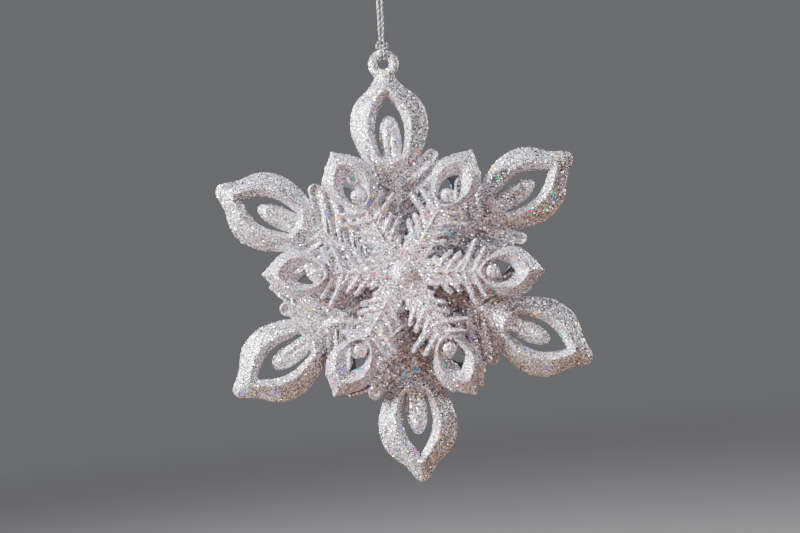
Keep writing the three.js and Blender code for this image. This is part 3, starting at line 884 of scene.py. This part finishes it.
# (name, layer, count, seed, size)
for name, layer, count, seed, size in (
        ("large_film_flakes", LARGE_LAYER, 210, 41, 0.62),
        ("front_film_flakes", FRONT_LAYER, 85, 42, 0.60),
        ("back_film_flakes", BACK_LAYER, 85, 43, 0.60)):
    platelets(name, layer, count, seed, size, thick=0.05, mats=FILMS, lift=0.22)

SPECK_SHARE = 1.0
# (name, layer, full count, seed)
for name, layer, count, seed in (
        ("large_silver_specks", LARGE_LAYER, 9500, 51),
        ("front_silver_specks", FRONT_LAYER, 5000, 52),
        ("back_silver_specks", BACK_LAYER, 5000, 53)):
    platelets(name, layer, int(count * SPECK_SHARE), seed, size=0.155, thick=0.055,
              mats=FOILS, lift=0.6)


# ------------------------------------------------------------------ cord
CORD_STEP = 0.105
LAY_PITCH = 1.55  # length of one twist
LAY_RADIUS = 0.19
PLY_RADIUS = 0.215
PLY_SIDES = 10
# A thick bright ply and a thin dark one: (share of the ply radius, share of the lay radius)
PLIES = [(1.22, 0.74), (0.64, 1.38)]

# Stations up the cord, from the eyelet's bar
SPLIT_LOW = 4.2  # hitch to run
SPLIT_HIGH = 11.0  # run to loop
LOOP_BASE = 14.2
LOOP_LENGTH = 66.0


def spline(points):
    """Catmull-Rom through points, resampled to equal steps: path, length along it."""
    p = np.array(points, float)
    p = np.vstack([2 * p[0] - p[1], p, 2 * p[-1] - p[-2]])
    out = []
    for i in range(1, len(p) - 2):
        n = max(4, int(np.linalg.norm(p[i + 1] - p[i]) / (CORD_STEP * 0.5)))
        out += [catmull_rom(p[i - 1:i + 3], k / n) for k in range(n)]
    out.append(p[-2])
    out = np.array(out)
    s = np.r_[0, np.cumsum(np.linalg.norm(np.diff(out, axis=0), axis=1))]
    even = np.linspace(0, s[-1], max(2, int(round(s[-1] / CORD_STEP))) + 1)
    return np.stack([np.interp(even, s, out[:, k]) for k in range(3)], 1), even


def frames(path):
    """Two directions square to the path at each point, carried along without twist."""
    t = np.gradient(path, axis=0)
    t /= np.linalg.norm(t, axis=1)[:, None]
    across = np.array([0.0, 1.0, 0.0])
    across = across - t[0] * (across @ t[0])
    # a path that sets off along Y needs another start
    if np.linalg.norm(across) < 1e-3:
        across = np.array([1.0, 0, 0])
    across /= np.linalg.norm(across)
    out = [across]
    for tangent in t[1:]:
        across = out[-1] - tangent * (out[-1] @ tangent)
        out.append(across / np.linalg.norm(across))
    out = np.array(out)
    return out, np.cross(t, out)


def tube(centre, radius):
    """Closed round tube along a line of centres."""
    a, b = frames(centre)
    turn = np.linspace(0, 2 * math.pi, PLY_SIDES, endpoint=False)[None, :, None]
    rings = centre[:, None, :] + radius * (a[:, None, :] * np.cos(turn)
                                           + b[:, None, :] * np.sin(turn))
    points = np.vstack([rings.reshape(-1, 3), centre[[0, -1]]])
    faces = []
    for i in range(len(centre) - 1):
        low, high = i * PLY_SIDES, (i + 1) * PLY_SIDES
        for j in range(PLY_SIDES):
            k = (j + 1) % PLY_SIDES
            faces.append([low + j, low + k, high + k, high + j])
    last = (len(centre) - 1) * PLY_SIDES
    start_mid = len(centre) * PLY_SIDES
    for first, mid, order in ((0, start_mid, -1), (last, start_mid + 1, 1)):
        for j in range(0, PLY_SIDES, 2):
            faces.append([mid] + [first + (j + d) % PLY_SIDES for d in (0, 1, 2)][::order])
    return points, np.array(faces)


def cord_piece(name, strands):
    """Strands given as (points, phase of the twist, length already run)."""
    verts, faces, face_mat, base = [], [], [], 0
    for points, phase, start in strands:
        path, s = spline(points)
        a, b = frames(path)
        for ply, (thickness, offset) in enumerate(PLIES):
            angle = (2 * math.pi * (s + start) / LAY_PITCH + ply * math.pi + phase)[:, None]
            centre = path + (a * np.cos(angle) + b * np.sin(angle)) * (LAY_RADIUS * offset)
            ply_verts, ply_faces = tube(centre, PLY_RADIUS * thickness)
            verts.append(ply_verts)
            faces.append(ply_faces + base)
            face_mat += [ply] * len(ply_faces)
            base += len(ply_verts)
    ob = mesh_object(name, np.vstack(verts), np.vstack(faces), CORD_MATS, face_mat,
                     np.ones(len(face_mat), bool))
    return ob


def cord_point(up, side, depth=0.0):
    """A point up from the eyelet's top bar, to the side, and in depth along Y."""
    return BAR + UP * up + SIDE * side + np.array([0, depth, 0])


def strand_half(up):
    """Half the distance between the two strands above the hitch."""
    return table(up, [(3.0, 0.40), (4.2, 0.41), (7.0, 0.46), (9.0, 0.52), (11.0, 0.56),
                      (14.2, 0.60)])


# Lark's head: down the front of the bar, through the hole, up behind, over the top and round
# as a collar. Columns: up, side, depth.
HITCH_HALF = [
    (SPLIT_LOW, -strand_half(SPLIT_LOW), -0.15), (3.3, -0.41, -0.7), (2.3, -0.45, -1.45),
    (1.1, -0.52, -1.85), (-0.2, -0.55, -1.93), (-1.28, -0.52, -1.38), (-1.78, -0.5, 0.0),
    (-1.48, -0.62, 1.56), (-0.12, -0.95, 2.16), (1.45, -1.33, 1.93), (2.44, -1.58, 0.66),
    (2.95, -1.35, -0.95), (3.45, -0.8, -1.65), (3.62, 0.0, -1.85)]
# (up from the loop's base, half the distance between the strands)
LOOP_HALF = [
    (SPLIT_HIGH - LOOP_BASE, strand_half(SPLIT_HIGH)), (0.2, 0.62), (4, 0.72), (8, 0.92),
    (19, 2.0), (34, 3.9), (51, 5.6), (59, 4.9), (63.4, 3.1), (65.9, 1.7), (67.4, 0.75)]


def build_hitch():
    left = [cord_point(*station) for station in HITCH_HALF]
    right = [BAR + (p - BAR) - 2 * SIDE * ((p - BAR) @ SIDE) for p in left[:-1]]
    hitch = cord_piece("cord_hitch_thread", [(left + right[::-1], 0.0, 0.0)])
    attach(hitch, "hitch")
    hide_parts("cord_hitch")


def build_run():
    stations = (SPLIT_LOW, 5.6, 7, 9, SPLIT_HIGH)
    strands = [([cord_point(up, s * strand_half(up), -0.15 if up < 5 else 0)
                 for up in stations], 0.6 + s, 0.0) for s in (-1, 1)]
    run = cord_piece("cord_run_thread", strands)
    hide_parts("cord_lower")
    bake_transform(run)


def build_loop():
    strands = [([cord_point(LOOP_BASE + up, s * half) for up, half in LOOP_HALF],
                0.6 + s, SPLIT_HIGH) for s in (-1, 1)]
    loop = cord_piece("cord_loop_thread", strands)
    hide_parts("cord_loop")
    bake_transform(loop)


def build_knot():
    """An overhand knot tied in both ends together: one turn round, then up through."""
    top = LOOP_BASE + LOOP_LENGTH
    turn_steps, turn_angle, turn_rise = 14, 2.35 * math.pi, 2.1
    # loose ends: up from the knot, side, depth
    tail = [(3.4, 0.45, 0.2), (4.6, 0.8, 0.1), (6.6, 1.3, 0), (8.3, 1.9, 0.1)]
    strands = []
    for s in (-1, 1):
        points = []
        for k in range(turn_steps + 1):
            share = k / turn_steps
            angle = math.pi * (0.5 - s * 0.5) + share * turn_angle
            radius = 1.18 - 0.25 * abs(share - 0.5)
            points.append(cord_point(top + 0.75 + turn_rise * share, radius * math.cos(angle),
                                     radius * math.sin(angle) * 0.9))
        points += [cord_point(top + up, s * side, depth) for up, side, depth in tail]
        strands.append((points, 0.3 + s, 0.0))
    knot = cord_piece("cord_knot_thread", strands)
    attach(knot, "loop")
    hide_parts("cord_knot")


build_hitch()
build_run()
build_loop()
build_knot()


# ------------------------------------------------------------------ floor, in metres
hub = HUB * MM
FLOOR_Z = hub[2] - 0.210
STUDIO_GREY = (0.150, 0.152, 0.160, 1)


def floor_material():
    """Pale matt floor that melts into the surrounding studio grey far from the object."""
    material, tree = new_material("pale_floor")
    # seen directly it is a neutral pale grey; the light it throws back up is weaker and warmer
    camera_ray = node(tree, "LightPath").outputs["Is Camera Ray"]
    color = mix_color(tree, camera_ray, (0.160, 0.114, 0.082, 1), (0.290, 0.288, 0.286, 1))
    matt = node(tree, "BsdfDiffuse", {"Color": color})
    grey = node(tree, "Emission", {"Color": STUDIO_GREY})
    position = node(tree, "NewGeometry").outputs["Position"]
    distance = node(tree, "VectorMath", {0: position, 1: (hub[0], hub[1], FLOOR_Z)},
                    operation="DISTANCE").outputs["Value"]
    far = map_range(tree, distance, source=(0.30, 2.2), interpolation_type="SMOOTHERSTEP")
    set_surface(tree, "MixShader", {0: far, 1: matt.outputs[0], 2: grey.outputs[0]})
    return material


def build_floor():
    """Wide round floor."""
    radii = [0.2, 0.5, 1.0, 2.0, 4.0, 9.0, 20.0, 60.0]
    n = 48
    angles = [2 * math.pi * k / n for k in range(n)]
    verts = [((hub[0] + r * math.cos(a)) * 1000, (hub[1] + r * math.sin(a)) * 1000,
              FLOOR_Z * 1000) for r in radii for a in angles]
    mid = len(verts)
    verts.append((hub[0] * 1000, hub[1] * 1000, FLOOR_Z * 1000))
    faces = [[mid, 2 * k, 2 * k + 1, (2 * k + 2) % n] for k in range(n // 2)]
    for i in range(len(radii) - 1):
        for k in range(n):
            j = (k + 1) % n
            faces.append([i * n + k, (i + 1) * n + k, (i + 1) * n + j, i * n + j])
    ob = mesh_object("pale_floor", np.array(verts), faces, [floor_material()],
                     smooth=np.ones(len(faces), bool))


build_floor()


# ------------------------------------------------------------------ lights, world and camera
def area(name, offset, size, power, color, spread=180):
    """Area light at an offset from the hub (m), aimed at it; spread in degrees."""
    light = bpy.data.lights.new(name, "AREA")
    light.shape = "RECTANGLE"
    light.size, light.size_y = size
    light.energy = power
    light.color = color
    light.spread = spread * RAD
    ob = bpy.data.objects.new(name, light)
    ob.location = tuple(hub + np.array(offset))
    ob.rotation_euler = (-Vector(offset)).to_track_quat("-Z", "Y").to_euler()
    bpy.context.collection.objects.link(ob)


area("key", offset=(-1.17, -0.60, 0.50), size=(0.30, 0.34), power=39.5,
     color=(0.99, 0.958, 1.0), spread=120)
area("top", offset=(0.10, -0.45, 1.20), size=(0.40, 0.30), power=7.0, color=(0.97, 0.95, 1.0))
area("fill", offset=(0.80, -1.10, 0.30), size=(0.40, 0.40), power=2.0,
     color=(0.99, 0.95, 1.0), spread=100)
area("rear_left", offset=(-0.70, 1.05, 0.45), size=(0.45, 0.45), power=2.5,
     color=(1.0, 0.98, 0.98), spread=60)
area("rear_right", offset=(1.05, 0.75, 0.45), size=(0.40, 0.40), power=1.5,
     color=(0.97, 0.97, 1.0), spread=60)
area("warm_bounce", offset=(0.10, -0.34, -0.17), size=(0.60, 0.06), power=0.05,
     color=(1.0, 0.44, 0.22), spread=48)


def build_world():
    """Dim ambient light; the camera itself sees the studio grey."""
    world = bpy.data.worlds.new("studio")
    bpy.context.scene.world = world
    world.use_nodes = True
    tree = world.node_tree
    ambient = tree.nodes["Background"]
    ambient.inputs[0].default_value = (0.079, 0.081, 0.091, 1)
    seen = node(tree, "Background", {0: STUDIO_GREY})
    camera_ray = node(tree, "LightPath").outputs["Is Camera Ray"]
    mix = node(tree, "MixShader", {0: camera_ray, 1: ambient.outputs[0], 2: seen.outputs[0]})
    tree.links.new(mix.outputs[0], tree.nodes["World Output"].inputs[0])


def build_camera():
    """Looks at the hub from the front and slightly below."""
    distance = 0.350
    view_width = 0.244  # width in view at the hub
    rise = 2.6 * RAD
    roll = -5.5 * RAD
    data = bpy.data.cameras.new("camera")
    data.sensor_width = 36.0
    data.lens = distance / view_width * 36.0
    data.shift_x = -0.004375
    data.shift_y = 0.009375
    data.clip_start = 0.01
    camera = bpy.data.objects.new("camera", data)
    bpy.context.collection.objects.link(camera)
    target = Vector(hub)
    location = Vector((hub[0], hub[1] - distance * math.cos(rise),
                       hub[2] - distance * math.sin(rise)))
    look = (target - location).to_track_quat("-Z", "Y").to_matrix().to_4x4()
    camera.matrix_world = Matrix.Translation(location) @ look @ Matrix.Rotation(roll, 4, "Z")
    bpy.context.scene.camera = camera


build_world()
build_camera()
